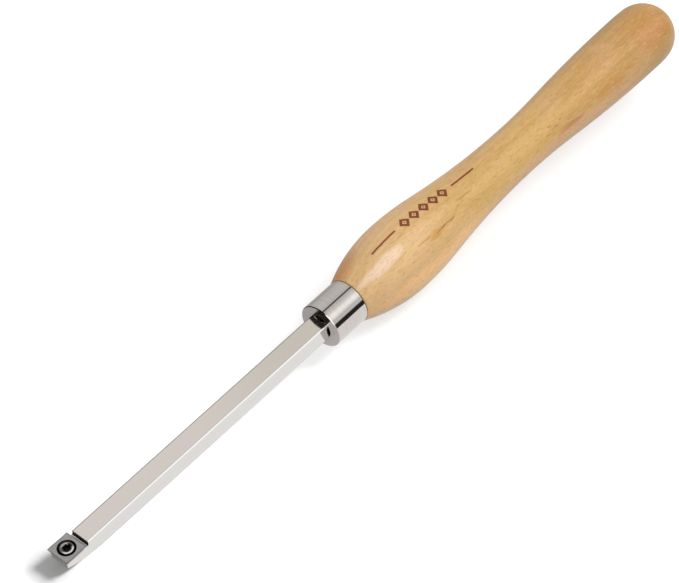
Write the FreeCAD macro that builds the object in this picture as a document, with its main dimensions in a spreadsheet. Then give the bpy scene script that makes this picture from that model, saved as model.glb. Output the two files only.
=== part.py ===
import FreeCAD, Part

import math
import os

import Sketcher
from FreeCAD import Placement, Rotation, Vector

# A woodturning chisel with an indexable carbide insert: a square steel bar, a steel ferrule
# and a turned wooden handle.  All sizes are in millimetres and all angles in degrees.
#
# The tool is drawn along X with its axis on y = z = 0.  x = 0 is the plane where the ferrule
# meets the handle: the bar points to -X and the handle runs to +X.  At the end the whole tool
# is laid down as it rests: on the swell of its handle and on the underside of its tip.

# Driving sizes: name, value, what it is.
SIZES = [
    ("bar_side", 10.0, "width and height of the square bar"),
    ("bar_corner", 0.4, "flat broken on the long edges of the bar"),
    ("bar_reach", 160.0, "bar from its shoulder to the ferrule"),
    ("tang_depth", 65.0, "tang inside the handle, behind the ferrule"),
    ("tang_step", 0.8, "radial, turned off the corners of the bar to form the tang"),
    ("insert_side", 12.0, "side of the square insert at its cutting edges"),
    ("insert_thickness", 2.5, "insert, top to seat"),
    ("insert_relief", 25.0, "lean of the insert's sides from the upright"),
    ("shoulder_gap", 2.2, "between the insert and the shoulder behind it"),
    ("seat_fillet", 0.8, "root radius between seat and shoulder"),
    ("nose_setback", 1.0, "front of the bar behind the cutting edge"),
    ("nose_height", 5.6, "top of the bar to the lower edge of the nose"),
    ("sweep_radius", 50.0, "curve of the underside up to the nose"),
    ("thread_diameter", 4.0, "insert screw, over its thread"),
    ("thread_clearance", 0.03, "radial, screw in the bar"),
    ("insert_hole_clearance", 0.2, "radial, screw in the insert"),
    ("countersink_diameter", 8.7, "mouth of the insert's hole"),
    ("countersink_angle", 90.0, "full angle of that mouth and of the screw's seat"),
    ("head_diameter", 6.6, "screw head"),
    ("head_rise", 0.3, "screw head above the insert"),
    ("head_chamfer", 0.2, "rim of the head"),
    ("screw_length", 7.0, "whole screw"),
    ("screw_chamfer", 0.4, "end of the screw"),
    ("socket_cone_diameter", 5.2, "cone that leads into the six-lobe socket"),
    ("socket_cone_angle", 125.0, "full angle of that cone"),
    ("socket_tip_diameter", 4.3, "six-lobe socket, over its lobes"),
    ("socket_waist_diameter", 3.1, "six-lobe socket, between its lobes"),
    ("socket_lobe_radius", 0.36, "tip of each lobe"),
    ("socket_depth", 1.6, "six-lobe socket, below the head's top"),
    ("ferrule_diameter", 23.5, "outside of the ferrule"),
    ("ferrule_length", 21.0, "front face to handle"),
    ("ferrule_wall", 4.0, "front wall of the ferrule"),
    ("ferrule_chamfer", 0.4, "both outer rims"),
    ("ferrule_mouth", 0.15, "chamfer of the hole in the front wall"),
    ("bore_clearance", 0.2, "radial, over the corners of the tang"),
    ("tenon_diameter", 20.0, "wooden tenon under the ferrule"),
    ("tenon_fit", 0.05, "radial, ferrule over the tenon"),
    ("tenon_gap", 0.4, "end of the tenon to the ferrule's front wall"),
    ("tenon_chamfer", 0.8, "end of the tenon"),
    ("handle_length", 258.0, "ferrule to the end of the butt"),
    ("rim_diameter", 24.2, "handle where it meets the ferrule, without the rounding"),
    ("rim_round", 0.3, "rounding of that rim"),
    ("bulge_diameter", 39.4, "handle at its swell"),
    ("bulge_at", 36.8, "swell, from the ferrule"),
    ("bulge_share", 0.28, "convex share of the curve from swell to waist"),
    ("waist_diameter", 26.7, "handle at its waist"),
    ("waist_at", 130.0, "waist, from the ferrule"),
    ("waist_share", 0.31, "hollow share of the curve from waist to butt"),
    ("butt_diameter", 35.0, "handle at its butt"),
    ("butt_length", 23.5, "widest place of the butt to its end"),
    ("dome_ease", 0.2, "radius of the butt less the radius of its domed end"),
    ("bore_extra", 3.0, "bore beyond the end of the tang"),
    ("drill_angle", 118.0, "full angle of the bore's end"),
]

# Sizes that follow from the driving ones.
DERIVED = [
    ("bar_half", "=bar_side / 2"),
    ("tang_radius", "=sqrt(bar_half^2 + (bar_half - bar_corner)^2) - tang_step"),
    ("bore_radius", "=tang_radius + bore_clearance"),
    ("tenon_length", "=ferrule_length - ferrule_wall - tenon_gap"),
    ("bore_length", "=tenon_length + tang_depth + bore_extra"),
    ("shoulder_back", "=ferrule_length + bar_reach"),
    ("nose_reach", "=shoulder_gap + insert_side - nose_setback"),
    ("insert_centre", "=shoulder_back + shoulder_gap + insert_side / 2"),
    ("sweep_length", "=sqrt(sweep_radius^2 - (sweep_radius - bar_side + nose_height)^2)"),
    ("bulge_rise", "=(bulge_diameter - rim_diameter) / 2"),
    ("bulge_front_radius", "=(bulge_at^2 + bulge_rise^2) / (2 * bulge_rise)"),
    ("butt_at", "=handle_length - butt_length"),
    ("dome_radius", "=butt_diameter / 2 - dome_ease"),
    ("waist_fall", "=(bulge_diameter - waist_diameter) / 2"),
    ("waist_span", "=waist_at - bulge_at"),
    ("bulge_rear_radius", "=bulge_share * (waist_span^2 + waist_fall^2) / (2 * waist_fall)"),
    ("butt_rise", "=(butt_diameter - waist_diameter) / 2"),
    ("butt_span", "=butt_at - waist_at"),
    ("waist_rear_radius", "=waist_share * (butt_span^2 + butt_rise^2) / (2 * butt_rise)"),
]

# How a sketch names its own axes and origin, and the points of a line or an arc.
X_AXIS, Y_AXIS = -1, -2
START, END, CENTRE = 1, 2, 3
ORIGIN = (X_AXIS, START)
LOBES = 6

doc = FreeCAD.newDocument("chisel")


def make_sheet():
    """Write the sizes into the sheet and give each cell its name."""
    sheet = doc.addObject("Spreadsheet::Sheet", "sizes")
    row = 1
    for name, value, note in SIZES:
        sheet.set("A%d" % row, note)
        sheet.set("B%d" % row, str(value))
        sheet.setAlias("B%d" % row, name)
        row += 1
    for name, formula in DERIVED:
        sheet.set("B%d" % row, formula)
        sheet.setAlias("B%d" % row, name)
        row += 1
    doc.recompute()
    return sheet


sizes = make_sheet()


def size(name):
    """The value of one named cell."""
    return float(sizes.get(name))


def bind(feature, **formulas):
    """Tie properties of a feature to cells of the sheet."""
    for name, formula in formulas.items():
        feature.setExpression(name, formula)


def new_body(label):
    body = doc.addObject("PartDesign::Body", label)
    body.Label = label
    return body


def new_sketch(body, name, plane, lift=None):
    """A sketch on one of the body's own origin planes, lifted off it by a formula."""
    sketch = body.newObject("Sketcher::SketchObject", name)
    for feature in body.Origin.OriginFeatures:
        if feature.Role == plane:
            sketch.AttachmentSupport = (feature, [""])
    sketch.MapMode = "FlatFace"
    if lift:
        sketch.setExpression("AttachmentOffset.Base.z", lift)
    return sketch


def tie(sketch, kind, *refs):
    return sketch.addConstraint(Sketcher.Constraint(kind, *refs))


def across(sketch, name, start, end, formula):
    """Width from start to end, to the right."""
    width = sketch.getPoint(*end).x - sketch.getPoint(*start).x
    name_constraint(sketch, tie(sketch, "DistanceX", *start, *end, width), name, formula)


def upward(sketch, name, start, end, formula):
    """Height from start up to end."""
    height = sketch.getPoint(*end).y - sketch.getPoint(*start).y
    name_constraint(sketch, tie(sketch, "DistanceY", *start, *end, height), name, formula)


def radius(sketch, name, arc, formula):
    drawn = sketch.Geometry[arc].Radius
    name_constraint(sketch, tie(sketch, "Radius", arc, drawn), name, formula)


def name_constraint(sketch, index, name, formula):
    sketch.renameConstraint(index, name)
    sketch.setExpression("Constraints." + name, formula)


def draw_outline(sketch, corners):
    """Closed outline of straight lines; the upright and level ones are tied so."""
    first = sketch.GeometryCount
    count = len(corners)
    for index in range(count):
        start = Vector(*corners[index], 0)
        end = Vector(*corners[(index + 1) % count], 0)
        line = sketch.addGeometry(Part.LineSegment(start, end))
        if math.isclose(start.x, end.x, abs_tol=1e-9):
            tie(sketch, "Vertical", line)
        elif math.isclose(start.y, end.y, abs_tol=1e-9):
            tie(sketch, "Horizontal", line)
    for index in range(count):
        tie(sketch, "Coincident", first + index, END, first + (index + 1) % count, START)


def draw_arc(sketch, centre, first, last):
    """Arc about centre, anticlockwise from first to last."""
    start = math.atan2(first.y - centre.y, first.x - centre.x)
    end = math.atan2(last.y - centre.y, last.x - centre.x)
    circle = Part.Circle(centre, Vector(0, 0, 1), first.distanceToPoint(centre))
    return sketch.addGeometry(Part.ArcOfCircle(circle, start, end))


def turn(body, kind, name, sketch, axis):
    """Revolution or groove of a sketch, a full turn about one of the sketch's axes."""
    feature = body.newObject("PartDesign::" + kind, name)
    feature.Profile = sketch
    feature.ReferenceAxis = (sketch, [axis])
    feature.Angle = 360
    doc.recompute()
    return feature


def edges_of(feature, wanted):
    """Names of the edges of a feature's shape that pass a test."""
    found = []
    for number, edge in enumerate(feature.Shape.Edges, start=1):
        if wanted(edge):
            found.append("Edge%d" % number)
    if not found:
        raise RuntimeError("no edge found on " + feature.Name)
    return found


def is_rim(edge, along, level, rim_radius):
    """True for a full circle about the axis `along`, at that level and radius."""
    if edge.Degenerated or not isinstance(edge.Curve, Part.Circle):
        return False
    centre = edge.Curve.Center
    offset = centre.x if along == "x" else centre.z
    level_fits = math.isclose(offset, level, abs_tol=1e-4)
    return level_fits and math.isclose(edge.Curve.Radius, rim_radius, abs_tol=1e-4)


def dress(body, kind, name, edges, prop, formula):
    """Fillet or chamfer on the edges of the body's tip."""
    base = body.Tip
    feature = body.newObject("PartDesign::" + kind, name)
    feature.Base = (base, edges)
    feature.setExpression(prop, formula)
    doc.recompute()
    return feature


def make_tool_bar():
    """Square bar, milled to a seat and shoulder, swept up to a thin nose and turned to a tang.

    The corners of the bar end at the front of the ferrule, so the ferrule stops the bar.
    """
    body = new_body("tool_bar")
    top = size("bar_half")
    shoulder = -size("shoulder_back")
    seat = top - size("insert_thickness")
    nose = shoulder - size("nose_reach")
    lip = top - size("nose_height")
    sweep = nose + size("sweep_length")
    tang = size("tang_depth")

    side = new_sketch(body, "side_view", "XZ_Plane")
    corners = [(shoulder, top), (tang, top), (tang, -top), (sweep, -top)]
    for start, end in zip(corners, corners[1:]):
        side.addGeometry(Part.LineSegment(Vector(*start, 0), Vector(*end, 0)))
    middle = Vector(sweep, -top + size("sweep_radius"), 0)
    under = draw_arc(side, middle, Vector(nose, lip, 0), Vector(sweep, -top, 0))
    corners = [(nose, lip), (nose, seat), (shoulder, seat), (shoulder, top)]
    for start, end in zip(corners, corners[1:]):
        side.addGeometry(Part.LineSegment(Vector(*start, 0), Vector(*end, 0)))
    upper, back, lower, front, bed, step = 0, 1, 2, 4, 5, 6
    for level in (upper, lower, bed):
        tie(side, "Horizontal", level)
    for upright in (back, front, step):
        tie(side, "Vertical", upright)
    tie(side, "Coincident", upper, END, back, START)
    tie(side, "Coincident", back, END, lower, START)
    tie(side, "Tangent", lower, END, under, END)
    tie(side, "Coincident", under, START, front, START)
    tie(side, "Coincident", front, END, bed, START)
    tie(side, "Coincident", bed, END, step, START)
    tie(side, "Coincident", step, END, upper, START)
    across(side, "tang", ORIGIN, (back, START), "sizes.tang_depth")
    across(side, "shoulder", (step, END), ORIGIN, "sizes.shoulder_back")
    across(side, "nose", (front, END), (step, START), "sizes.nose_reach")
    upward(side, "top", ORIGIN, (back, START), "sizes.bar_half")
    upward(side, "thickness", (back, END), (back, START), "sizes.bar_side")
    upward(side, "seat_depth", (step, START), (step, END), "sizes.insert_thickness")
    upward(side, "lip", (front, START), (step, END), "sizes.nose_height")
    radius(side, "sweep", under, "sizes.sweep_radius")

    bar = body.newObject("PartDesign::Pad", "bar")
    bar.Profile = side
    bar.SideType = "Symmetric"
    bind(bar, Length="sizes.bar_side")
    doc.recompute()

    def is_long_edge(edge):
        ends = [vertex.Point for vertex in edge.Vertexes]
        if len(ends) != 2:
            return False
        level = all(math.isclose(abs(p.z), top, abs_tol=1e-6) for p in ends)
        return level and math.isclose(ends[0].y, ends[1].y, abs_tol=1e-6)

    dress(body, "Chamfer", "broken_edges", edges_of(bar, is_long_edge), "Size", "sizes.bar_corner")

    def is_root(edge):
        ends = [vertex.Point for vertex in edge.Vertexes]
        return all(abs(p.x - shoulder) < 1e-6 and abs(p.z - seat) < 1e-6 for p in ends)

    dress(body, "Fillet", "seat_root", edges_of(body.Tip, is_root), "Radius", "sizes.seat_fillet")

    waste = new_sketch(body, "tang_waste", "XZ_Plane")
    front = -size("ferrule_length")
    turned = size("tang_radius")
    clear = size("bar_side")
    draw_outline(waste, [(front, turned), (front, clear), (tang, clear), (tang, turned)])
    across(waste, "front", (0, START), ORIGIN, "sizes.ferrule_length")
    across(waste, "length", (1, START), (1, END), "sizes.ferrule_length + sizes.tang_depth")
    upward(waste, "turned", ORIGIN, (0, START), "sizes.tang_radius")
    upward(waste, "clear", ORIGIN, (1, START), "sizes.bar_side")
    turn(body, "Groove", "turned_tang", waste, "H_Axis")

    hole = new_sketch(body, "screw_hole", "XY_Plane")
    hole_radius = size("thread_diameter") / 2 + size("thread_clearance")
    centre = Vector(-size("insert_centre"), 0, 0)
    hole.addGeometry(Part.Circle(centre, Vector(0, 0, 1), hole_radius))
    tie(hole, "PointOnObject", 0, CENTRE, X_AXIS)
    across(hole, "place", (0, CENTRE), ORIGIN, "sizes.insert_centre")
    radius(hole, "bore", 0, "sizes.thread_diameter / 2 + sizes.thread_clearance")
    tapped = body.newObject("PartDesign::Pocket", "tapped_hole")
    tapped.Profile = hole
    tapped.Type = "ThroughAll"
    tapped.SideType = "Symmetric"
    doc.recompute()
    return body


def make_insert():
    """Square carbide insert; its own origin is the centre of its top face."""
    body = new_body("carbide_insert")
    half = size("insert_side") / 2
    plan = new_sketch(body, "cutting_edges", "XY_Plane")
    draw_outline(plan, [(-half, -half), (half, -half), (half, half), (-half, half)])
    tie(plan, "Symmetric", 0, START, 2, START, *ORIGIN)
    across(plan, "width", (0, START), (0, END), "sizes.insert_side")
    upward(plan, "depth", (1, START), (1, END), "sizes.insert_side")
    blank = body.newObject("PartDesign::Pad", "blank")
    blank.Profile = plan
    blank.Reversed = True
    bind(blank, Length="sizes.insert_thickness")
    doc.recompute()
    sides = []
    top = ""
    for number, face in enumerate(blank.Shape.Faces, start=1):
        normal = face.normalAt(0, 0)
        if abs(normal.z) < 0.5:
            sides.append("Face%d" % number)
        elif normal.z > 0:
            top = "Face%d" % number
    relief = body.newObject("PartDesign::Draft", "relief")
    relief.Base = (blank, sides)
    relief.NeutralPlane = (blank, [top])
    relief.Reversed = True
    bind(relief, Angle="sizes.insert_relief")
    doc.recompute()

    mouth = size("countersink_diameter") / 2
    hole = size("thread_diameter") / 2 + size("insert_hole_clearance")
    slope = math.tan(math.radians(size("countersink_angle") / 2))
    cone_end = -(mouth - hole) / slope
    floor = -size("insert_thickness")
    side = new_sketch(body, "countersink", "XZ_Plane")
    draw_outline(side, [(0, 0), (mouth, 0), (hole, cone_end), (hole, floor), (0, floor)])
    tie(side, "Coincident", 0, START, *ORIGIN)
    across(side, "mouth", (0, START), (0, END), "sizes.countersink_diameter / 2")
    across(side, "hole", ORIGIN, (2, START), "sizes.thread_diameter / 2 + sizes.insert_hole_clearance")
    upward(side, "floor", (4, START), ORIGIN, "sizes.insert_thickness")
    cone = "(sizes.countersink_diameter / 2 - sizes.thread_diameter / 2 - sizes.insert_hole_clearance)"
    cone += " / tan(sizes.countersink_angle / 2)"
    upward(side, "cone", (2, START), ORIGIN, cone)
    turn(body, "Groove", "screw_hole", side, "V_Axis")
    return body


def make_screw():
    """Countersunk screw with a raised head and a six-lobe socket, along its own Z axis."""
    body = new_body("insert_screw")
    top = size("head_rise")
    head = size("head_diameter") / 2
    thread = size("thread_diameter") / 2
    mouth = size("countersink_diameter") / 2
    slope = math.tan(math.radians(size("countersink_angle") / 2))
    cone_start = -(mouth - head) / slope
    cone_end = -(mouth - thread) / slope
    tip = top - size("screw_length")
    side = new_sketch(body, "half_section", "XZ_Plane")
    corners = [(0, top), (head, top), (head, cone_start), (thread, cone_end), (thread, tip), (0, tip)]
    draw_outline(side, corners)
    tie(side, "PointOnObject", 0, START, Y_AXIS)
    across(side, "head", ORIGIN, (0, END), "sizes.head_diameter / 2")
    across(side, "thread", ORIGIN, (3, START), "sizes.thread_diameter / 2")
    upward(side, "rise", ORIGIN, (0, START), "sizes.head_rise")
    upward(side, "length", (5, START), (5, END), "sizes.screw_length")
    reach = "(sizes.countersink_diameter - sizes.%s) / 2 / tan(sizes.countersink_angle / 2)"
    upward(side, "seat_start", (2, START), ORIGIN, reach % "head_diameter")
    upward(side, "seat_end", (3, START), ORIGIN, reach % "thread_diameter")
    turn(body, "Revolution", "blank", side, "V_Axis")

    rim = edges_of(body.Tip, lambda edge: is_rim(edge, "z", top, head))
    dress(body, "Chamfer", "head_rim", rim, "Size", "sizes.head_chamfer")
    end = edges_of(body.Tip, lambda edge: is_rim(edge, "z", tip, thread))
    dress(body, "Chamfer", "screw_end", end, "Size", "sizes.screw_chamfer")

    lead = new_sketch(body, "socket_lead", "XZ_Plane")
    wide = size("socket_cone_diameter") / 2
    point = top - wide / math.tan(math.radians(size("socket_cone_angle") / 2))
    draw_outline(lead, [(0, point), (wide, top), (0, top)])
    tie(lead, "PointOnObject", 0, START, Y_AXIS)
    across(lead, "mouth", (1, END), (1, START), "sizes.socket_cone_diameter / 2")
    upward(lead, "level", ORIGIN, (2, START), "sizes.head_rise")
    depth = "sizes.socket_cone_diameter / 2 / tan(sizes.socket_cone_angle / 2)"
    upward(lead, "depth", (2, END), (2, START), depth)
    turn(body, "Groove", "lead_in_cone", lead, "V_Axis")

    lobe = make_lobe(body)
    cut = body.newObject("PartDesign::Pocket", "lobe")
    cut.Profile = lobe
    bind(cut, Length="sizes.socket_depth")
    doc.recompute()
    socket = body.newObject("PartDesign::PolarPattern", "six_lobe_socket")
    socket.Originals = [cut]
    socket.Axis = (lobe, ["N_Axis"])
    socket.Angle = 360
    socket.Occurrences = LOBES
    body.Tip = socket
    doc.recompute()
    return body


def make_lobe(body):
    """One sixth of the socket: a lobe between two halves of the curves that part it."""
    lobe = new_sketch(body, "lobe_plan", "XY_Plane", lift="sizes.head_rise")
    tip = size("socket_lobe_radius")
    waist = size("socket_waist_diameter") / 2
    reach = size("socket_tip_diameter") / 2 - tip
    half = math.pi / LOBES
    # The parting curve's radius, from its distance to the lobe's centre: both curves touch.
    gap = reach**2 + waist**2 - 2 * reach * waist * math.cos(half) - tip**2
    parting = gap / (2 * (tip - waist + reach * math.cos(half)))
    centre = Vector(reach, 0, 0)
    lines = []
    curves = []
    for sign in (-1, 1):
        away = Vector(math.cos(half), sign * math.sin(half), 0)
        start = away * waist
        middle = away * (waist + parting)
        touch = centre + (middle - centre).normalize() * tip
        lines.append(lobe.addGeometry(Part.LineSegment(Vector(0, 0, 0), start)))
        first, last = (start, touch) if sign > 0 else (touch, start)
        curves.append((draw_arc(lobe, middle, first, last), sign))
    low_touch = lobe.getPoint(curves[0][0], START)
    high_touch = lobe.getPoint(curves[1][0], END)
    crown = draw_arc(lobe, centre, low_touch, high_touch)
    tie(lobe, "PointOnObject", crown, CENTRE, X_AXIS)
    radius(lobe, "tip", crown, "sizes.socket_lobe_radius")
    across(lobe, "reach", ORIGIN, (crown, CENTRE), "sizes.socket_tip_diameter / 2 - sizes.socket_lobe_radius")
    for line, (curve, sign) in zip(lines, curves):
        inner, outer = (START, END) if sign > 0 else (END, START)
        crown_end = END if sign > 0 else START
        tie(lobe, "Coincident", line, START, *ORIGIN)
        tie(lobe, "Coincident", line, END, curve, inner)
        tie(lobe, "PointOnObject", curve, CENTRE, line)
        tie(lobe, "Tangent", curve, outer, crown, crown_end)
        tie(lobe, "Angle", line, sign * half)
        length = tie(lobe, "Distance", line, waist)
        label = "waist_above" if sign > 0 else "waist_below"
        name_constraint(lobe, length, label, "sizes.socket_waist_diameter / 2")
    return lobe


def make_ferrule():
    """Sleeve over the tenon with a thick front wall, bored for the tang."""
    body = new_body("ferrule")
    front = -size("ferrule_length")
    outer = size("ferrule_diameter") / 2
    bore = size("bore_radius")
    socket = size("tenon_diameter") / 2 + size("tenon_fit")
    inside = front + size("ferrule_wall")
    half = new_sketch(body, "half_section", "XZ_Plane")
    corners = [(front, bore), (front, outer), (0, outer), (0, socket), (inside, socket), (inside, bore)]
    draw_outline(half, corners)
    tie(half, "PointOnObject", 2, START, Y_AXIS)
    across(half, "length", (1, START), (1, END), "sizes.ferrule_length")
    across(half, "wall", (5, END), (5, START), "sizes.ferrule_wall")
    upward(half, "outside", ORIGIN, (1, START), "sizes.ferrule_diameter / 2")
    upward(half, "socket", ORIGIN, (3, START), "sizes.tenon_diameter / 2 + sizes.tenon_fit")
    upward(half, "bore", ORIGIN, (5, START), "sizes.bore_radius")
    turn(body, "Revolution", "sleeve", half, "H_Axis")

    def is_outer_rim(edge):
        return is_rim(edge, "x", front, outer) or is_rim(edge, "x", 0, outer)

    rims = edges_of(body.Tip, is_outer_rim)
    dress(body, "Chamfer", "outer_rims", rims, "Size", "sizes.ferrule_chamfer")
    mouth = edges_of(body.Tip, lambda edge: is_rim(edge, "x", front, bore))
    dress(body, "Chamfer", "hole_mouth", mouth, "Size", "sizes.ferrule_mouth")
    return body


def draw_bore(body, name):
    """Half section of the drilled bore: round, with the drill's cone at its end."""
    half = new_sketch(body, name, "XZ_Plane")
    mouth = -size("tenon_length")
    bore = size("bore_radius")
    end = mouth + size("bore_length")
    point = end + bore / math.tan(math.radians(size("drill_angle") / 2))
    draw_outline(half, [(mouth, 0), (mouth, bore), (end, bore), (point, 0)])
    tie(half, "PointOnObject", 0, START, X_AXIS)
    across(half, "mouth", (0, START), ORIGIN, "sizes.tenon_length")
    across(half, "length", (1, START), (1, END), "sizes.bore_length")
    upward(half, "radius", (0, START), (0, END), "sizes.bore_radius")
    point_length = "sizes.bore_radius / tan(sizes.drill_angle / 2)"
    across(half, "point", (2, START), (2, END), point_length)
    return half


def make_handle():
    """Turned handle: arcs from the rim to the domed butt, each touching the next."""
    body = new_body("handle")
    tenon_end = -size("tenon_length")
    tenon = size("tenon_diameter") / 2
    rounding = size("rim_round")
    front = size("bulge_front_radius")
    bulge = Vector(size("bulge_at"), size("bulge_diameter") / 2, 0)
    waist = Vector(size("waist_at"), size("waist_diameter") / 2, 0)
    butt = Vector(size("butt_at"), size("butt_diameter") / 2, 0)
    end = Vector(size("handle_length"), 0, 0)
    upright = Vector(0, 1, 0)

    bulge_sum = size("bulge_rear_radius") / size("bulge_share")
    butt_sum = size("waist_rear_radius") / size("waist_share")
    over_bulge_front = bulge - upright * front
    rim_height = math.sqrt((front - rounding) ** 2 - (bulge.x - rounding) ** 2)
    rim_centre = Vector(rounding, over_bulge_front.y + rim_height, 0)
    rim_top = point_on_way(over_bulge_front, rim_centre, front)
    rim = rim_centre - Vector(rounding, 0, 0)
    over_bulge_rear = bulge - upright * size("bulge_rear_radius")
    under_waist_front = waist + upright * (bulge_sum - size("bulge_rear_radius"))
    under_waist_rear = waist + upright * size("waist_rear_radius")
    over_butt_front = butt - upright * (butt_sum - size("waist_rear_radius"))
    dome = size("dome_radius")
    dome_centre = end - Vector(dome, 0, 0)
    run = dome_centre.x - butt.x
    shoulder = (run**2 + butt.y**2 - dome**2) / (2 * (butt.y - dome))
    over_butt_rear = butt - upright * shoulder
    turn_in = point_on_way(over_bulge_rear, under_waist_front, size("bulge_rear_radius"))
    turn_out = point_on_way(under_waist_rear, over_butt_front, size("waist_rear_radius"))
    dome_start = point_on_way(over_butt_rear, dome_centre, shoulder)

    half = new_sketch(body, "half_section", "XZ_Plane")
    corners = [(end.x, 0), (tenon_end, 0), (tenon_end, tenon), (0, tenon), (0, rim.y)]
    for first, second in zip(corners, corners[1:]):
        half.addGeometry(Part.LineSegment(Vector(*first, 0), Vector(*second, 0)))
    axis, tenon_face, tenon_side, rim_face = 0, 1, 2, 3
    # Convex arcs run anticlockwise from right to left, hollow ones from left to right.
    rim_arc = draw_arc(half, rim_centre, rim_top, rim)
    bulge_front = draw_arc(half, over_bulge_front, bulge, rim_top)
    bulge_rear = draw_arc(half, over_bulge_rear, turn_in, bulge)
    waist_front = draw_arc(half, under_waist_front, turn_in, waist)
    waist_rear = draw_arc(half, under_waist_rear, waist, turn_out)
    butt_front = draw_arc(half, over_butt_front, butt, turn_out)
    butt_rear = draw_arc(half, over_butt_rear, dome_start, butt)
    dome_tip = draw_arc(half, dome_centre, end, dome_start)

    tie(half, "PointOnObject", axis, START, X_AXIS)
    tie(half, "PointOnObject", axis, END, X_AXIS)
    tie(half, "Vertical", tenon_face)
    tie(half, "Horizontal", tenon_side)
    tie(half, "PointOnObject", rim_face, START, Y_AXIS)
    tie(half, "PointOnObject", rim_face, END, Y_AXIS)
    tie(half, "Coincident", axis, END, tenon_face, START)
    tie(half, "Coincident", tenon_face, END, tenon_side, START)
    tie(half, "Coincident", tenon_side, END, rim_face, START)
    tie(half, "Tangent", rim_face, END, rim_arc, END)
    tie(half, "Tangent", rim_arc, START, bulge_front, END)
    tie(half, "Coincident", bulge_front, START, bulge_rear, END)
    tie(half, "Tangent", bulge_rear, START, waist_front, START)
    tie(half, "Coincident", waist_front, END, waist_rear, START)
    tie(half, "Tangent", waist_rear, END, butt_front, END)
    tie(half, "Coincident", butt_front, START, butt_rear, END)
    tie(half, "Tangent", butt_rear, START, dome_tip, END)
    tie(half, "Coincident", dome_tip, START, axis, START)
    tie(half, "PointOnObject", dome_tip, CENTRE, X_AXIS)
    # Each arc's centre is straight under or over its crest, so the crests are level.
    tie(half, "Vertical", bulge_front, CENTRE, bulge_front, START)
    tie(half, "Vertical", bulge_rear, CENTRE, bulge_rear, END)
    tie(half, "Vertical", waist_front, CENTRE, waist_front, END)
    tie(half, "Vertical", waist_rear, CENTRE, waist_rear, START)
    tie(half, "Vertical", butt_front, CENTRE, butt_front, START)
    tie(half, "Vertical", butt_rear, CENTRE, butt_rear, END)
    across(half, "tenon_length", (tenon_face, START), ORIGIN, "sizes.tenon_length")
    upward(half, "tenon_radius", (tenon_face, START), (tenon_face, END), "sizes.tenon_diameter / 2")
    radius(half, "rim_round", rim_arc, "sizes.rim_round")
    radius(half, "bulge_front", bulge_front, "sizes.bulge_front_radius")
    across(half, "bulge_place", ORIGIN, (bulge_front, START), "sizes.bulge_at")
    upward(half, "bulge_radius", ORIGIN, (bulge_front, START), "sizes.bulge_diameter / 2")
    across(half, "waist_place", ORIGIN, (waist_rear, START), "sizes.waist_at")
    upward(half, "waist_radius", ORIGIN, (waist_rear, START), "sizes.waist_diameter / 2")
    across(half, "butt_place", ORIGIN, (butt_front, START), "sizes.butt_at")
    upward(half, "butt_radius", ORIGIN, (butt_front, START), "sizes.butt_diameter / 2")
    across(half, "full_length", ORIGIN, (axis, START), "sizes.handle_length")
    radius(half, "bulge_rear", bulge_rear, "sizes.bulge_rear_radius")
    radius(half, "waist_rear", waist_rear, "sizes.waist_rear_radius")
    radius(half, "dome_tip", dome_tip, "sizes.dome_radius")
    turn(body, "Revolution", "turning", half, "H_Axis")

    edge = edges_of(body.Tip, lambda edge: is_rim(edge, "x", tenon_end, tenon))
    dress(body, "Chamfer", "tenon_end", edge, "Size", "sizes.tenon_chamfer")
    turn(body, "Groove", "tang_bore", draw_bore(body, "bore_section"), "H_Axis")
    return body


def point_on_way(start, goal, distance):
    """The point at that distance from start, on the way to goal."""
    return start + (goal - start).normalize() * distance


def make_adhesive(bar):
    """What fills the round bore around the tang."""
    fill = new_body("bore_fill")
    turn(fill, "Revolution", "fill", draw_bore(fill, "fill_section"), "H_Axis")
    adhesive = doc.addObject("Part::Cut", "adhesive")
    adhesive.Label = "adhesive"
    adhesive.Base = fill
    adhesive.Tool = bar
    doc.recompute()
    return fill, adhesive


def resting_place():
    """Lay the tool on the ground, which touches the curve under its tip and the swell behind.

    Seen from the side, the ground is the line that touches both curves from below.  The ends
    of the tool then give the middle of its length, which is put over the origin.
    """
    bulge = size("bulge_diameter") / 2
    front = size("bulge_front_radius")
    sweep = size("sweep_radius")
    nose = -size("shoulder_back") - size("nose_reach")
    tip_centre = Vector(nose + size("sweep_length"), 0, sweep - size("bar_half"))
    bulge_centre = Vector(size("bulge_at"), 0, front - bulge)
    way = bulge_centre - tip_centre
    tilt = math.asin((front - sweep) / way.Length) - math.atan2(way.z, way.x)
    cosine = math.cos(tilt)
    sine = math.sin(tilt)
    ground = tip_centre.x * sine + tip_centre.z * cosine - sweep
    cutting_edge = -size("insert_centre") - size("insert_side") / 2
    tip_end = cutting_edge * cosine - size("bar_half") * sine
    dome = size("dome_radius")
    butt_end = (size("handle_length") - dome) * cosine + dome
    middle = (tip_end + butt_end) / 2
    print("tilt %.3f degrees, middle %.3f, ground %.3f" % (math.degrees(tilt), middle, ground))
    return Placement(Vector(-middle, 0, -ground), Rotation(Vector(0, 1, 0), -math.degrees(tilt)))


def check(shapes):
    """Stop unless every feature was computed and every solid is sound."""
    for feature in doc.Objects:
        if "Invalid" in feature.State or "Error" in feature.State:
            raise RuntimeError("%s was not computed: %s" % (feature.Name, feature.State))
        if feature.TypeId == "Sketcher::SketchObject" and not feature.FullyConstrained:
            raise RuntimeError("%s is not fully constrained" % feature.Name)
    for node in shapes:
        shape = node.Shape
        if shape.isNull() or not shape.isValid() or len(shape.Solids) != 1:
            raise RuntimeError("%s is not one sound solid" % node.Label)
        print("%-15s %9.1f mm3  %s" % (node.Label, shape.Volume, shape.BoundBox))


tool_bar = make_tool_bar()
insert = make_insert()
screw = make_screw()
ferrule = make_ferrule()
handle = make_handle()
bore_fill, adhesive = make_adhesive(tool_bar)

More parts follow.
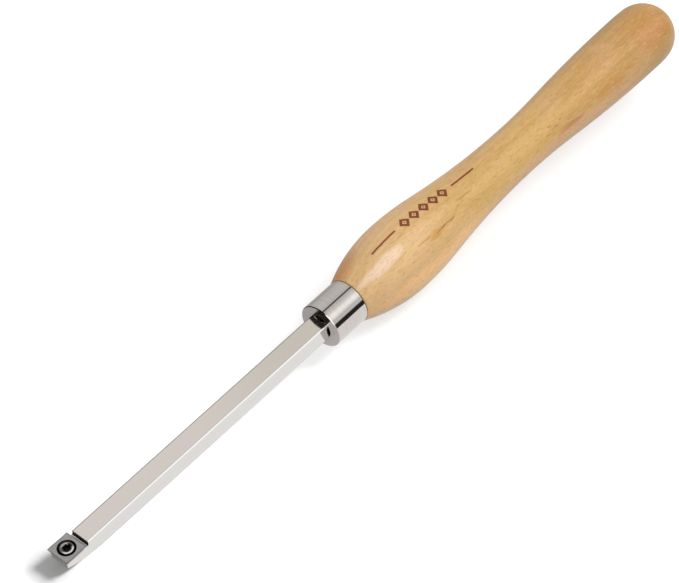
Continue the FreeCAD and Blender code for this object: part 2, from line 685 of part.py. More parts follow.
rest = resting_place()
on_seat = Placement(Vector(-size("insert_centre"), 0, size("bar_half")), Rotation())
for piece in (tool_bar, ferrule, handle, bore_fill):
    piece.Placement = rest
for piece in (insert, screw):
    piece.Placement = rest.multiply(on_seat)
doc.recompute()

nodes = [tool_bar, insert, screw, ferrule, handle, adhesive]
check(nodes)
os.makedirs("parts", exist_ok=True)
for node in nodes:
    node.Shape.exportStep("parts/%s.step" % node.Label)
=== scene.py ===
import math

import bpy
from mathutils import Matrix, Vector

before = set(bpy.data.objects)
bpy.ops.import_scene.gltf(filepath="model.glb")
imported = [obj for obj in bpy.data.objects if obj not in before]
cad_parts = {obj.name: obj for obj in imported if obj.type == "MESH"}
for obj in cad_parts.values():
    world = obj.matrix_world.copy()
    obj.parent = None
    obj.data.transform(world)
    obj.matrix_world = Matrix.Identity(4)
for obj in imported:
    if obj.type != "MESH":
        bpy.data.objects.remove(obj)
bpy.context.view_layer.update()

# How the tool lies: its axis climbs towards the butt. Places along it count from where the ferrule
# meets the handle, and are below zero towards the cutter.
tool = {
    "tilt": math.radians(4.024),
    "origin": Vector((-0.031169, 0.0, 0.017298)),
    "insertAlong": -0.1892,                     # the middle of the cutter
    "insertTop": 0.0050,                        # and its top, above the axis
}


# Shader maths

class Signal:                                   # a socket that can be used in sums
    def __init__(self, tree, socket=None):
        self.tree = tree
        self.socket = socket

    def node(self, kind, settings=None, inputs=None, output=0):
        made = self.tree.nodes.new(kind)
        for name, value in (settings or {}).items():
            if name == "stops":
                setStops(made.color_ramp, value)
            else:
                setattr(made, name, value)
        for name, value in (inputs or {}).items():
            plug(self.tree, pick(made.inputs, name), value)
        return Signal(self.tree, pick(made.outputs, output))

    def sum(self, operation, *values):
        inputs = dict(enumerate(values))
        return self.node("ShaderNodeMath", {"operation": operation}, inputs)

    def __add__(self, other):
        return self.sum("ADD", self, other)

    def __radd__(self, other):
        return self.sum("ADD", other, self)

    def __sub__(self, other):
        return self.sum("SUBTRACT", self, other)

    def __rsub__(self, other):
        return self.sum("SUBTRACT", other, self)

    def __mul__(self, other):
        return self.sum("MULTIPLY", self, other)

    def __rmul__(self, other):
        return self.sum("MULTIPLY", other, self)

    def __truediv__(self, other):
        return self.sum("DIVIDE", self, other)

    def __rtruediv__(self, other):
        return self.sum("DIVIDE", other, self)

    def __pow__(self, other):
        return self.sum("POWER", self, other)

    def __abs__(self):
        return self.sum("ABSOLUTE", self)

    def ramp(self, low, high, atLow=0.0, atHigh=1.0, smooth=True):
        kind = "SMOOTHSTEP" if smooth else "LINEAR"
        return self.node("ShaderNodeMapRange", {"interpolation_type": kind},
                         {"Value": self, "From Min": low, "From Max": high, "To Min": atLow, "To Max": atHigh})

    def fade(self, low, high):                  # one below, nothing above
        return self.ramp(low, high, 1.0, 0.0)

    def blend(self, first, second):             # colours, with this signal as the factor
        return self.node("ShaderNodeMix", {"data_type": "RGBA", "clamp_factor": True},
                         {"Factor_Float": self, "A_Color": first, "B_Color": second}, "Result_Color")

    def tint(self, other):                      # this colour times another, or times a level
        return self.node("ShaderNodeMix", {"data_type": "RGBA", "blend_type": "MULTIPLY"},
                         {"Factor_Float": 1.0, "A_Color": self, "B_Color": other}, "Result_Color")


def pick(sockets, name):
    if isinstance(name, int):
        return sockets[name]
    return next(socket for socket in sockets if name in (socket.identifier, socket.name))


def plug(tree, socket, value):
    if isinstance(value, Signal):
        tree.links.new(value.socket, socket)
    else:
        socket.default_value = value


def setStops(colourRamp, stops):
    while len(colourRamp.elements) < len(stops):
        colourRamp.elements.new(0.5)
    for element, (place, colour) in zip(colourRamp.elements, stops):
        element.position = place
        element.color = colour


def grey(level):
    return (level, level, level, 1.0)


def dimmed(colour, level):
    return (*(channel * level for channel in colour[:3]), 1.0)


def srgb(red, green, blue):                     # a colour as a paint program shows it, 0 to 255
    def linear(value):
        value = value / 255
        return value / 12.92 if value <= 0.04045 else ((value + 0.055) / 1.055) ** 2.4
    return (linear(red), linear(green), linear(blue), 1.0)


def newMaterial(name, metallic, roughness, constants=None):
    material = bpy.data.materials.new(name)
    material.use_nodes = True
    shader = material.node_tree.nodes["Principled BSDF"]
    shader.inputs["Metallic"].default_value = metallic
    shader.inputs["Roughness"].default_value = roughness
    for socket, value in (constants or {}).items():
        shader.inputs[socket].default_value = value
    return material, shader, Signal(material.node_tree)


def alongTool(start):                           # x along the tool's axis, y and z across it, in metres
    place = start.node("ShaderNodeTexCoord", output="Object")
    moved = start.node("ShaderNodeVectorMath", {"operation": "SUBTRACT"}, {0: place, 1: tool["origin"]})
    return start.node("ShaderNodeVectorRotate", {"rotation_type": "Y_AXIS"},
                      {"Vector": moved, "Angle": tool["tilt"]})


def parts(vector):
    split = vector.node("ShaderNodeSeparateXYZ", inputs={"Vector": vector})
    sockets = split.socket.node.outputs
    return [Signal(vector.tree, socket) for socket in sockets]


def join(x, y, z):
    owner = next(value for value in (x, y, z) if isinstance(value, Signal))
    return owner.node("ShaderNodeCombineXYZ", inputs={"X": x, "Y": y, "Z": z})


def turnOf(y, z):                               # degrees round the axis, from the top towards the front
    return y.sum("ARCTAN2", y * -1, z) * (180 / math.pi)


def reachOf(first, second):
    return (first * first + second * second) ** 0.5


noiseSpan = (0.3, 0.7)                          # where most of a noise's values lie


def noise(vector, scale, detail=2.0, roughness=0.5):
    return vector.node("ShaderNodeTexNoise", {"noise_dimensions": "3D"},
                       {"Vector": vector, "Scale": scale, "Detail": detail, "Roughness": roughness})


def bump(height, depth):
    return height.node("ShaderNodeBump", inputs={"Height": height, "Distance": depth, "Strength": 1.0})


def dressNode(name, material):
    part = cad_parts[name]
    part.data.materials.clear()
    part.data.materials.append(material)


# The camera stands where the photographer stood

camera = {
    "lens": 116.64,                             # for a sensor 36 mm wide
    "aim": Vector((-0.03147, 0.00575, 0.020)),
    "distance": 1.05106,
    "azimuth": math.radians(-49.985),
    "elevation": math.radians(45.051),
    "roll": math.radians(0.711),
    "nearest": 0.05,
    "farthest": 50.0,
}


def addCamera():
    data = bpy.data.cameras.new("camera")
    data.lens = camera["lens"]
    data.clip_start = camera["nearest"]
    data.clip_end = camera["farthest"]
    stand = bpy.data.objects.new("camera", data)
    bpy.context.scene.collection.objects.link(stand)
    turn = (Matrix.Rotation(camera["azimuth"], 4, "Z")
            @ Matrix.Rotation(math.pi / 2 - camera["elevation"], 4, "X")
            @ Matrix.Rotation(camera["roll"], 4, "Z"))
    back = turn.to_3x3() @ Vector((0.0, 0.0, 1.0))
    stand.matrix_world = Matrix.Translation(camera["aim"] + back * camera["distance"]) @ turn
    bpy.context.scene.camera = stand


addCamera()
print("camera placed")


# A white studio: soft even light, one wide lamp, a narrow one for the cutter's shadow, and the bands
# that polished steel shows. A pair of numbers is where something begins and where it is full.

studio = {
    "fill": 0.68,                               # the room's level on matt surfaces
    "white": 1.0,
    # degrees round the room from straight up towards the front, and the level that steel sees there
    "bands": [
        (-180, 0.46), (-92, 0.46), (-86, 0.60), (-40, 0.72), (-17, 0.64), (-15, 0.07), (-9, 0.07),
        (-7, 0.52), (12, 0.70), (28, 1.06), (34, 1.06), (50, 0.80), (57, 0.96), (66, 0.96),
        (69, 0.02), (90, 0.02), (180, 0.02),
    ],
    # what steel sees beyond the cutter, in place of the bands: dark behind, and a bright card before
    "tipSide": 0.008,
    "tipLow": 0.32,                             # the dark is lighter near the floor
    "tipGleam": 1.10,
    "tipFacing": (-0.36, -0.20),
    "tipHorizon": (-0.05, 0.05),
    "tipRise": (0.25, 0.50),
    "tipTurn": (0.486, 0.514),                  # shares of a turn
    "lampPower": 9.0,
    "lampSize": 0.6,
    "lampPlace": Vector((0.78, -0.42, 1.02)),
    "tipLampPower": 20.0,
    "tipLampSize": 0.115,
    "tipLampFrom": Vector((0.36, -0.16, 0.37)),   # from the cutter's shadow
    "tipLampCone": math.radians(30),
}

paper = {
    "reach": 3.0,
    "roughness": 0.9,
    "tone": 0.63,
    "fade": 0.20,                               # taken off the tone for the eye, so that shadows stay light
    "glow": 0.645,                              # lifts the open floor to white for the eye
    "farWhite": (0.35, 0.9),                    # from here on it is plain white
    "tipAt": Vector((-0.228, 0.004, 0.0)),      # the middle of the cutter's shadow
    "tipTone": 0.54,
    "tipToneReach": (0.012, 0.024),
    "tipGlowReach": (0.008, 0.020),
    "steelFront": 0.80,                         # what steel shows of the floor before the tool
    "steelBehind": 0.48,                        # and behind it
    "steelTip": 0.34,                           # and beyond the cutter
    "steelAcross": (-0.004, 0.012),
    "steelAlong": (-0.2262, -0.2240),
}


def rayKinds(start):                            # one for rays from the eye, one for rays off polished steel
    paths = start.node("ShaderNodeLightPath").socket.node.outputs
    isCamera, isGlossy, isThrough = [Signal(start.tree, paths[name]) for name in (
        "Is Camera Ray", "Is Glossy Ray", "Is Transmission Ray")]
    return isCamera + isThrough, isGlossy


def litWorld():
    world = bpy.data.worlds.new("studio")
    world.use_nodes = True
    bpy.context.scene.world = world
    tree = world.node_tree
    start = Signal(tree)
    x, y, z = parts(start.node("ShaderNodeTexCoord", output="Generated"))
    turn = turnOf(y, z) / 360 + 0.5
    stops = [(degrees / 360 + 0.5, grey(level)) for degrees, level in studio["bands"]]
    band = turn.node("ShaderNodeValToRGB", {"stops": stops}, {"Fac": turn})
    towardsTip = x.fade(*studio["tipFacing"]) * z.ramp(*studio["tipHorizon"])
    dark = z.ramp(*studio["tipRise"], studio["tipLow"], studio["tipSide"])
    seen = towardsTip.blend(band, turn.ramp(*studio["tipTurn"], dark, studio["tipGleam"]))
    isSeen, isGlossy = rayKinds(start)
    level = isGlossy.blend(grey(studio["fill"]), seen)
    level = isSeen.blend(level, grey(studio["white"]))
    plug(tree, tree.nodes["Background"].inputs["Color"], level)


def hangLamp(name, kind, power, aim, offset):
    data = bpy.data.lights.new(name, kind)
    data.energy = power
    lamp = bpy.data.objects.new(name, data)
    bpy.context.scene.collection.objects.link(lamp)
    lamp.location = aim + offset
    lamp.rotation_euler = offset.to_track_quat("Z", "Y").to_euler()
    lamp.visible_glossy = False
    lamp.visible_camera = False
    return data


def addLamps():
    wide = hangLamp("wideLamp", "AREA", studio["lampPower"], Vector((0, 0, 0)), studio["lampPlace"])
    wide.shape = "DISK"
    wide.size = studio["lampSize"]
    narrow = hangLamp("tipLamp", "SPOT", studio["tipLampPower"], paper["tipAt"], studio["tipLampFrom"])
    narrow.shadow_soft_size = studio["tipLampSize"]
    narrow.spot_size = studio["tipLampCone"]
    narrow.spot_blend = 1.0


def addFloor():
    reach = paper["reach"]
    mesh = bpy.data.meshes.new("floor")
    corners = [(-reach, -reach, 0), (reach, -reach, 0), (reach, reach, 0), (-reach, reach, 0)]
    mesh.from_pydata(corners, [], [(0, 1, 2, 3)])
    floor = bpy.data.objects.new("floor", mesh)
    bpy.context.scene.collection.objects.link(floor)
    material, shader, start = newMaterial("floorPaper", 0.0, paper["roughness"],
                                          {"Specular IOR Level": 0.0, "Emission Strength": 1.0})
    tree = start.tree
    isSeen, isGlossy = rayKinds(start)
    place = start.node("ShaderNodeTexCoord", output="Object")
    away = place.node("ShaderNodeVectorMath", {"operation": "LENGTH"}, {0: place}, "Value")
    fromTip = place.node("ShaderNodeVectorMath", {"operation": "DISTANCE"},
                         {0: place, 1: paper["tipAt"]}, "Value")
    along, across = parts(place)[:2]
    tone = paper["tone"] - isSeen * paper["fade"]
    # painted shadow: round the cutter's shadow the floor's tone drops and its glow goes out, so the shadow
    # there is deeper
    tone = fromTip.ramp(*paper["tipToneReach"], paper["tipTone"], tone)
    plug(tree, shader.inputs["Base Color"], tone * (1 - isGlossy))
    glow = fromTip.ramp(*paper["tipGlowReach"], 0.0, paper["glow"])
    mirrored = across.ramp(*paper["steelAcross"], paper["steelFront"], paper["steelBehind"])
    mirrored = along.ramp(*paper["steelAlong"], paper["steelTip"], mirrored)
    plug(tree, shader.inputs["Emission Color"], glow * isSeen + mirrored * isGlossy)
    plain = start.node("ShaderNodeEmission", inputs={"Color": grey(1.0), "Strength": studio["white"]})
    far = away.ramp(*paper["farWhite"]) * isSeen
    mixed = start.node("ShaderNodeMixShader", inputs={0: far, 1: Signal(tree, shader.outputs[0]), 2: plain})
    plug(tree, tree.nodes["Material Output"].inputs["Surface"], mixed)
    mesh.materials.append(material)


litWorld()
addLamps()
addFloor()
print("studio lit")


# Polished stainless bar, drawn and ground lengthwise

barFinish = {
    "colour": (0.965, 0.905, 0.86, 1.0),
    # painted reflection: the top is darker and warmer towards the ferrule
    "nearFerrule": (0.86, 0.80, 0.72, 1.0),
    "nearFerruleAlong": (-0.115, -0.03),
    "pinkish": (1.0, 0.965, 0.96, 1.0),         # two tints in soft patches
    "yellowish": (0.985, 0.98, 0.95, 1.0),
    # painted reflection: the sides are less warm than the top
    "side": (0.95, 0.94, 0.925, 1.0),
    "sideAt": (0.0047, 0.0049),                 # from the axis
    "edge": (0.99, 0.985, 0.97, 1.0),           # a painted highlight on the corner at the front
    "edgeHighlightAt": (0.0091, 0.0094),                 # its height and its place to the front, added
    # thin dark reflections along the top's front edge, along the back edge and along the bottom
    "frontLine": (-0.00470, -0.00455),
    "frontLineEnd": (-0.0043, -0.0040),
    "frontLineUp": (0.0048, 0.0049),
    "backLine": (0.0040, 0.0044),
    "backLineUp": (0.0043, 0.0046),
    "lowLineUp": (-0.0045, -0.0040),
    "lineShares": (0.7, 0.6, 0.25),
    "lineLevel": 0.2,
    # the shoulder's wall behind the cutter, painted dark as shade, with a thin painted highlight at its foot
    "wall": (-0.18215, -0.1818),
    "wallEnd": (-0.18097, -0.18092),
    "wallTop": (0.00495, 0.00498),
    "wallSides": (0.00494, 0.00497),
    "wallShadeLevel": 0.03,
    "gleamTop": (0.00255, 0.00262),
    "gleamLevel": 0.97,
    # painted shade: the nose below the cutter is darker
    "noseEnd": (-0.1941, -0.1940),
    "noseShadeLevel": 0.55,
    "grainLevel": 0.93,                         # the darkest of the grinding lines
    "roughness": 0.12,
    "roughGrain": 0.08,                         # how much it changes with the lines, clouds and gleam
    "roughWear": 0.05,
    "roughGleam": 0.5,
    "lineSpacing": 0.00018,                     # between grinding lines, across the bar
    "lineLength": 0.03,
    "lineDepth": 0.0000012,
    "wear": (12, 60),                           # clouds in a metre, along and across
    "patches": (110, 240),
}


def finishBar():
    bar = barFinish
    material, shader, start = newMaterial("bar_steel", 1.0, bar["roughness"])
    x, y, z = parts(alongTool(start))
    lines = join(x / bar["lineLength"], y / bar["lineSpacing"], z / bar["lineSpacing"])
    grain = noise(lines, 1.0, 3.0, 0.6)
    along, across = bar["wear"]
    cloud = noise(join(x * along, y * across, z * across), 1.0)
    tone = grain.ramp(*noiseSpan, 0.0, 0.5, False) + cloud * 0.5
    # painted reflection: darker and warmer towards the ferrule, and the sides less warm than the top
    light = x.ramp(*bar["nearFerruleAlong"]).blend(bar["colour"], bar["nearFerrule"])
    light = abs(y).ramp(*bar["sideAt"]).blend(light, bar["side"])
    along, across = bar["patches"]
    patch = noise(join(x * along, y * across, z * across + 3), 1.0, 1.0)
    colour = patch.ramp(0.38, 0.62).blend(bar["yellowish"], bar["pinkish"])
    colour = tone.blend(grey(bar["grainLevel"]), grey(1.0)).tint(light).tint(colour)

    front = y.ramp(*bar["frontLine"]) * y.fade(*bar["frontLineEnd"]) * z.ramp(*bar["frontLineUp"])
    back = y.ramp(*bar["backLine"]) * z.ramp(*bar["backLineUp"])
    low = z.fade(*bar["lowLineUp"])
    frontShare, backShare, lowShare = bar["lineShares"]
    dark = front * frontShare + back * backShare + low * lowShare
    colour = dark.blend(colour, grey(bar["lineLevel"]))
    # painted highlight along the front corner
    colour = (z - y).ramp(*bar["edgeHighlightAt"]).blend(colour, bar["edge"])

    between = abs(y).fade(*bar["wallSides"])
    # painted shade on the shoulder's wall, and a painted highlight at its foot
    wall = x.ramp(*bar["wall"]) * x.fade(*bar["wallEnd"]) * z.fade(*bar["wallTop"]) * between
    colour = wall.blend(colour, grey(bar["wallShadeLevel"]))
    gleam = z.fade(*bar["gleamTop"]) * wall
    colour = gleam.blend(colour, grey(bar["gleamLevel"]))
    # painted shade on the nose below the cutter
    nose = x.fade(*bar["noseEnd"]) * between
    colour = nose.blend(colour, grey(bar["noseShadeLevel"]))
    plug(start.tree, shader.inputs["Base Color"], colour)
    rough = bar["roughness"] + (grain - 0.5) * bar["roughGrain"] + (cloud - 0.5) * bar["roughWear"]
    plug(start.tree, shader.inputs["Roughness"], rough + gleam * bar["roughGleam"])
    plug(start.tree, shader.inputs["Normal"], bump(grain, bar["lineDepth"]))
    dressNode("tool_bar", material)


finishBar()
print("bar finished")


# Sintered carbide, lapped to a satin grey

carbideFinish = {
    "colour": (0.60, 0.575, 0.56, 1.0),
    "darkShare": 0.66,                          # the darkest grains, as a share of that colour
    "edge": (0.00565, 0.00577),                 # the dark line along the cutting edges, from the middle
    "edgeShare": 0.72,
    "edgeLevel": 0.05,
    "hollow": (0.00438, 0.00442),               # radius of the countersink, painted near black as shade
    "hollowShadeLevel": 0.02,
    "roughness": 0.40,
    "roughClouds": 0.12,
    "grain": 0.00022,
    "grainDepth": 0.0000025,
    "clouds": 350.0,                            # in a metre
}


def finishInsert():
    carbide = carbideFinish
    material, shader, start = newMaterial("carbide", 1.0, carbide["roughness"])
    place = alongTool(start)
    x, y = parts(place)[:2]
    x = x - tool["insertAlong"]
    grain = noise(place, 1 / carbide["grain"], 3.0, 0.7)
    cloud = noise(place, carbide["clouds"])
    tone = grain * 0.8 + cloud * 0.2
    colour = tone.ramp(0.36, 0.64).blend(dimmed(carbide["colour"], carbide["darkShare"]), carbide["colour"])
    edge = start.sum("MAXIMUM", abs(x), abs(y)).ramp(*carbide["edge"])
    colour = (edge * carbide["edgeShare"]).blend(colour, grey(carbide["edgeLevel"]))
    # painted shade in the countersink
    hollow = reachOf(x, y).fade(*carbide["hollow"])
    colour = hollow.blend(colour, grey(carbide["hollowShadeLevel"]))
    plug(start.tree, shader.inputs["Base Color"], colour)
    rough = carbide["roughness"] + (cloud - 0.5) * carbide["roughClouds"]
    plug(start.tree, shader.inputs["Roughness"], rough)
    plug(start.tree, shader.inputs["Normal"], bump(grain, carbide["grainDepth"]))
    dressNode("carbide_insert", material)


finishInsert()
print("cutter finished")


# The screw: turned head, with a painted highlight on its rim and cone towards the front, and a socket painted
# near black as shade

screwFinish = {
    "colour": (0.20, 0.19, 0.185, 1.0),
    "darkShare": 0.7,
    "paintedHighlight": (0.97, 0.96, 0.95, 1.0),
    # painted shade: the socket's inside is near black
    "socket": (0.012, 0.011, 0.010, 1.0),
    "roughness": 0.24,
    "roughGrain": 0.15,
    "grain": 4000.0,                            # in a metre
    # the rim and the socket's lead-in cone, painted bright towards the front as a highlight: radii, and how
    # far round to the front
    "rim": (0.00225, 0.0025),
    "rimEnd": (0.00305, 0.00325),
    "rimFront": (0.05, 0.75),
    "cone": (0.00215, 0.0023),
    "coneEnd": (0.0026, 0.0027),
    "coneFront": (-0.9, -0.2),
    "coneShare": 0.4,
    "socketRadius": (0.00228, 0.00232),
    "socketDeep": (-0.00025, 0.0),              # from the cutter's top
    "lightFrom": (-0.20, -0.98),                # the front as this screw sees it: x and y
}


def finishScrew():
    screw = screwFinish
    material, shader, start = newMaterial("screw_steel", 1.0, screw["roughness"])
    place = alongTool(start)
    x, y, z = parts(place)
    x = x - tool["insertAlong"]
    grain = noise(place, screw["grain"])
    reach = reachOf(x, y)
    lightX, lightY = screw["lightFrom"]
    front = (y * lightY + x * lightX) / (reach + 0.00001)   # never divided by nothing
    colour = grain.ramp(*noiseSpan).blend(dimmed(screw["colour"], screw["darkShare"]), screw["colour"])
    # painted highlight on the rim and the cone, towards the front
    rim = reach.ramp(*screw["rim"]) * reach.fade(*screw["rimEnd"]) * front.ramp(*screw["rimFront"])
    cone = reach.ramp(*screw["cone"]) * reach.fade(*screw["coneEnd"])
    cone = cone * front.ramp(*screw["coneFront"], screw["coneShare"], 0.0)
    colour = (rim + cone).blend(colour, screw["paintedHighlight"])
    # painted shade inside the socket
    socket = reach.fade(*screw["socketRadius"]) * (z - tool["insertTop"]).fade(*screw["socketDeep"])
    colour = socket.blend(colour, screw["socket"])
    plug(start.tree, shader.inputs["Base Color"], colour)
    plug(start.tree, shader.inputs["Roughness"], screw["roughness"] + (grain - 0.5) * screw["roughGrain"])
    dressNode("insert_screw", material)


finishScrew()
print("screw finished")


# Bright turned ferrule

ferruleFinish = {
    "colour": (0.84, 0.79, 0.745, 1.0),
    "darkShare": 0.86,
    "wallNear": (0.51, 0.472, 0.465, 1.0),      # the turned front wall, painted darker as reflections, nearer half and far half
    "wallFar": (0.70, 0.66, 0.655, 1.0),
    "wallHalves": (-0.004, 0.004),
    "wallAlong": (-0.0207, -0.0206),
    # painted reflections: levels round the side, in degrees from the top towards the front
    "backLevel": 0.84,
    "backEnd": (4, 11),
    "stripe": (37, 45),                         # a painted darker stripe before the black reflection
    "stripeEnd": (50, 53),
    "stripeDepth": 0.36,
    # the small bevel round the wall, painted as reflections: dark above, a bright highlight towards the front
    "rim": (0.01136, 0.01141),
    "rimAlong": (-0.0206, -0.02058),
    "rimTurn": (-75, -55),
    "rimTurnEnd": (50, 62),
    "rimBright": (13, 20),
    "rimLevels": (0.03, 0.98),
    "roughness": 0.07,
    "roughLines": 0.08,
    "roughWall": 0.12,
    "lineSpacing": 0.00022,                     # between turning lines, along the axis
    "lineDepth": 0.0000010,
}


def finishFerrule():
    ferrule = ferruleFinish
    material, shader, start = newMaterial("ferrule_steel", 1.0, ferrule["roughness"])
    x, y, z = parts(alongTool(start))
    reach = reachOf(y, z)
    turn = turnOf(y, z)
    lines = join(x / ferrule["lineSpacing"], reach / ferrule["lineSpacing"], 0.0)
    turned = noise(lines, 1.0, 3.0, 0.6)
    side = turned.ramp(*noiseSpan).blend(dimmed(ferrule["colour"], ferrule["darkShare"]), ferrule["colour"])
    # painted reflections round the side: darker at the back, and a darker stripe
    stripe = turn.ramp(*ferrule["stripe"]) * turn.ramp(*ferrule["stripeEnd"], ferrule["stripeDepth"], 0.0)
    side = side.tint(turn.ramp(*ferrule["backEnd"], ferrule["backLevel"], 1.0) - stripe)
    wall = x.fade(*ferrule["wallAlong"])
    # painted reflections: the front wall darker, its nearer half more so
    front = y.ramp(*ferrule["wallHalves"]).blend(ferrule["wallNear"], ferrule["wallFar"])
    colour = wall.blend(side, front)
    # painted reflections on the bevel
    rim = reach.ramp(*ferrule["rim"]) * x.fade(*ferrule["rimAlong"])
    rim = rim * turn.ramp(*ferrule["rimTurn"]) * turn.fade(*ferrule["rimTurnEnd"])
    above, before = ferrule["rimLevels"]
    colour = rim.blend(colour, turn.ramp(*ferrule["rimBright"]).blend(grey(above), grey(before)))
    plug(start.tree, shader.inputs["Base Color"], colour)
    rough = ferrule["roughness"] + (turned - 0.5) * ferrule["roughLines"] + wall * ferrule["roughWall"]
    plug(start.tree, shader.inputs["Roughness"], rough)
    plug(start.tree, shader.inputs["Normal"], bump(turned, ferrule["lineDepth"]))
    dressNode("ferrule", material)


finishFerrule()
print("ferrule finished")


# Steamed beech under a thin satin lacquer, with a row of lozenges burned into its top

woodFinish = {
    # the body's colour at places along the handle, in metres from the ferrule
    "body": [(0.030, srgb(211, 173, 119)), (0.075, srgb(208, 167, 98)), (0.140, srgb(209, 166, 97)),
             (0.190, srgb(200, 153, 86)), (0.245, srgb(177, 134, 66))],
    "length": 0.26,
    "deep": (0.92, 0.89, 0.84, 1.0),            # tints over the body's colour
    "pale": (1.05, 1.06, 1.09, 1.0),
    "fleck": srgb(168, 112, 54),
    "light": srgb(240, 208, 158),
    "blush": srgb(216, 168, 132),
    "amber": srgb(196, 130, 66),
    "warm": srgb(244, 190, 126),
    "ochre": srgb(196, 142, 58),
    "gloss": srgb(238, 212, 190),
    "roughness": 0.45,
    "coat": 0.40,
    "coatRoughness": 0.24,
    "roughFlecks": 0.2,
    "heart": (0.055, -0.020),                   # the tree's middle beside the handle: y and z
    "ringSpacing": 0.0042,
    "ringDrift": 0.010,
    "grainDepth": 0.00002,
    # noise in the wood: changes in a metre along the handle and across it, detail, roughness
    "grain": {
        "drift": (9, 40, 2.0, 0.5), "broad": (14, 90, 3.0, 0.55), "fibre": (90, 900, 3.0, 0.6),
        "flecks": (290, 1300, 2.0, 0.6), "pores": (240, 1150, 2.0, 0.6),
        "blotch": (42, 85, 2.0, 0.5), "wander": (60, 160, 3.0, 0.5),
    },
    "toneShares": (0.55, 0.12, 0.33),           # of the broad figure, the rings and the fibre
    "deepSpan": (0.36, 0.52),
    "paleSpan": (0.50, 0.66),
    "blotchSpan": (0.48, 0.66),
    "blotchShare": 0.22,
    "fleckSpan": (0.50, 0.70),
    "fleckShare": 0.36,
    "poreShare": 0.18,
    "cloudFray": 1.1,                           # how far the clouds' edges wander
    "cloudEdge": (0.15, 1.15),
    # clouds and marks: along, degrees from the top towards the front, half length, half angle,
    # colour, strength. The pale pink cloud by the ferrule is a painted highlight on the lacquer; the warm
    # and blush clouds on the sides are painted light on the shaded low front and at the edges; the amber
    # and ochre clouds are the wood's own streaks
    "marks": [
        (0.017, 25, 0.018, 12, "gloss", 0.62), (0.004, -50, 0.016, 40, "amber", 0.80),
        (0.105, -60, 0.070, 22, "blush", 0.55), (0.045, 90, 0.060, 22, "warm", 0.75),
        (0.150, 86, 0.060, 14, "blush", 0.55), (0.160, 71, 0.011, 6, "amber", 0.85),
        (0.192, 62, 0.012, 12, "amber", 0.40), (0.232, 40, 0.014, 24, "amber", 0.30),
        (0.050, 44, 0.007, 8, "ochre", 0.75), (0.040, -35, 0.035, 22, "blush", 0.35),
        (0.238, 10, 0.024, 60, "amber", 0.26), (0.070, -52, 0.070, 26, "warm", 0.45),
    ],
    # fine dark lines in the grain: along, degrees, half length, slope, strength
    "hairs": [
        (0.058, 43.5, 0.0095, -0.02, 0.95), (0.078, 29, 0.0075, 0.10, 0.60),
        (0.042, 40, 0.006, -0.05, 0.45), (0.150, 50, 0.0018, 0.10, 0.90),
        (0.157, 66, 0.009, 0.05, 0.70), (0.034, 12, 0.004, 0.02, 0.35),
        (0.146, 42, 0.0016, 0.10, 0.75), (0.154, 44, 0.0013, -0.10, 0.70),
        (0.143, 55, 0.002, 0.05, 0.60), (0.159, 57, 0.0016, 0.15, 0.65),
        (0.172, 30, 0.003, 0.05, 0.45), (0.120, 35, 0.005, 0.04, 0.40),
    ],
    "hairDegree": 0.0003,                       # metres round the handle in a degree
    "hairSlope": 3000,                          # degrees in a metre at a slope of one
    "hairWaver": 7,
    "hairWidth": (0.0001, 0.0006),
    "hairTaper": 0.6,                           # the share of a line that keeps its full strength
}

burnedRow = {
    "burn": srgb(100, 38, 8),
    "scorch": srgb(216, 142, 92),
    "scorchAround": -0.0009,                    # outside the burned shapes
    "scorchShare": 0.45,
    "burnEdge": (-0.0001, 0.0002),
    "burnShare": 0.82,
    "burnFibre": 0.2,                           # and what the fibre adds to that share
    "sunk": 4,                                  # the burn's depth in the relief, against the grain's
    "burnRough": 0.25,
    "ragged": 0.0003,
    "upperSide": (0.0, 0.002),                  # height above the axis: the row is on the top only
    "first": 0.0385,                            # where the row begins and ends along the handle
    "last": 0.0745,
    "pitch": 0.0072,
    "halfLength": 0.0035,
    "halfWidth": 0.0034,
    "ring": (0.70, 0.30),                       # a lozenge's ring: its middle and half its width, as shares
    "heart": 0.16,                              # and the small lozenge in it
    "lines": [(0.0175, 0.0350), (0.0780, 0.0955)],
    "lineWidth": 0.0011,
}


def lozengeRow(x, y):                           # above zero inside the burned shapes, in metres
    row = burnedRow
    middle, thickness = row["ring"]
    wave = x.node("ShaderNodeMath", {"operation": "PINGPONG"}, {0: x - row["first"], 1: row["pitch"] / 2})
    off = (row["pitch"] / 2 - wave) / row["halfLength"] + abs(y) / row["halfWidth"]
    ring = (thickness - abs(off - middle)) * row["halfWidth"]
    heart = (row["heart"] - off) * row["halfWidth"]
    within = x.sum("MINIMUM", x - row["first"], row["last"] - x)
    shape = x.sum("MINIMUM", x.sum("MAXIMUM", ring, heart), within)
    for start, end in row["lines"]:
        endways = (end - start) / 2 - abs(x - (start + end) / 2)
        line = x.sum("MINIMUM", endways, row["lineWidth"] / 2 - abs(y))
        shape = x.sum("MAXIMUM", shape, line)
    return shape


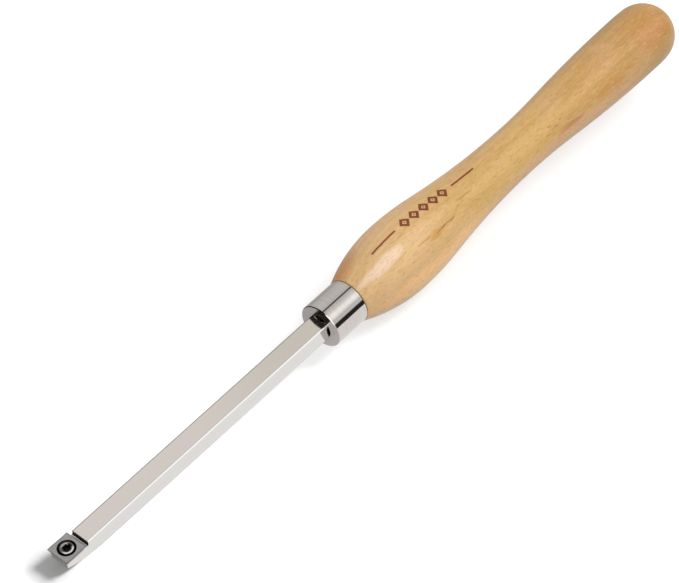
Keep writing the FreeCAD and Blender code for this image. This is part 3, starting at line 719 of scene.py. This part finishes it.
def finishHandle():
    wood = woodFinish
    material, shader, start = newMaterial("beech", 0.0, wood["roughness"],
                                          {"Coat Roughness": wood["coatRoughness"]})
    x, y, z = parts(alongTool(start))
    turn = turnOf(y, z)

    def grain(name, shift=0.0):
        along, across, detail, roughness = wood["grain"][name]
        return noise(join(x * along + shift, y * across, z * across), 1.0, detail, roughness)

    heartY, heartZ = wood["heart"]
    fromHeart = ((y - heartY) ** 2 + (z - heartZ) ** 2) ** 0.5
    rings = (fromHeart + (grain("drift") - 0.5) * wood["ringDrift"]) * (2 * math.pi / wood["ringSpacing"])
    rings = start.sum("SINE", rings) * 0.5 + 0.5
    fibre = grain("fibre")
    flecks = grain("flecks")
    stops = [(place / wood["length"], colour) for place, colour in wood["body"]]
    body = x.node("ShaderNodeValToRGB", {"stops": stops}, {"Fac": x / wood["length"]})
    broadShare, ringShare, fibreShare = wood["toneShares"]
    tone = grain("broad") * broadShare + rings * ringShare + fibre * fibreShare
    colour = tone.ramp(*wood["deepSpan"]).blend(wood["deep"], grey(1.0))
    colour = tone.ramp(*wood["paleSpan"]).blend(colour, wood["pale"]).tint(body)
    blotch = grain("blotch").ramp(*wood["blotchSpan"]) * wood["blotchShare"]
    colour = blotch.blend(colour, wood["blush"])

    wander = (grain("wander") - 0.5) * wood["cloudFray"]
    # painted highlight and painted light among the marks, beside the wood's own streaks
    for along, degrees, halfLength, halfTurn, name, strength in wood["marks"]:
        near = ((x - along) / halfLength) ** 2 + ((turn - degrees) / halfTurn) ** 2
        cloud = (near + wander).ramp(*wood["cloudEdge"], strength, 0.0)
        colour = cloud.blend(colour, wood[name])
    colour = (flecks.ramp(*wood["fleckSpan"]) * wood["fleckShare"]).blend(colour, wood["fleck"])
    pores = grain("pores", 7.0).ramp(*wood["fleckSpan"]) * wood["poreShare"]
    colour = pores.blend(colour, wood["light"])
    waver = (fibre - 0.5) * wood["hairWaver"]
    for along, degrees, halfLength, slope, strength in wood["hairs"]:
        off = (turn - degrees) - (x - along) * (slope * wood["hairSlope"]) + waver
        hair = (abs(off) * wood["hairDegree"]).ramp(*wood["hairWidth"], strength, 0.0)
        hair = hair * abs(x - along).fade(halfLength * wood["hairTaper"], halfLength)
        colour = hair.blend(colour, wood["fleck"])

    shape = lozengeRow(x, y) + (flecks - 0.5) * burnedRow["ragged"]
    upper = z.ramp(*burnedRow["upperSide"])
    scorched = shape.ramp(burnedRow["scorchAround"], 0.0, 0.0, burnedRow["scorchShare"]) * upper
    colour = scorched.blend(colour, burnedRow["scorch"])
    burned = shape.ramp(*burnedRow["burnEdge"]) * upper
    charred = burned * (burnedRow["burnShare"] + fibre * burnedRow["burnFibre"])
    colour = charred.blend(colour, burnedRow["burn"])
    plug(start.tree, shader.inputs["Base Color"], colour)
    rough = wood["roughness"] + (flecks - 0.5) * wood["roughFlecks"] + burned * burnedRow["burnRough"]
    plug(start.tree, shader.inputs["Roughness"], rough)
    plug(start.tree, shader.inputs["Coat Weight"], wood["coat"] * (1 - burned))
    relief = fibre * 0.4 + flecks * 0.6 - burned * burnedRow["sunk"]
    plug(start.tree, shader.inputs["Normal"], bump(relief, wood["grainDepth"]))
    dressNode("handle", material)


finishHandle()
print("handle finished")


# Cured epoxy round the tang, out of sight inside the handle

glueFinish = {
    "amber": (0.55, 0.36, 0.16, 1.0),
    "pale": (0.68, 0.50, 0.27, 1.0),
    "clouds": 300.0,                            # in a metre
    "roughness": 0.35,
}


def finishAdhesive():
    material, shader, start = newMaterial("adhesive", 0.0, glueFinish["roughness"])
    cloud = noise(alongTool(start), glueFinish["clouds"], 3.0)
    plug(start.tree, shader.inputs["Base Color"], cloud.blend(glueFinish["amber"], glueFinish["pale"]))
    dressNode("adhesive", material)


finishAdhesive()
print("adhesive finished")

bpy.context.scene.view_settings.view_transform = "Standard"
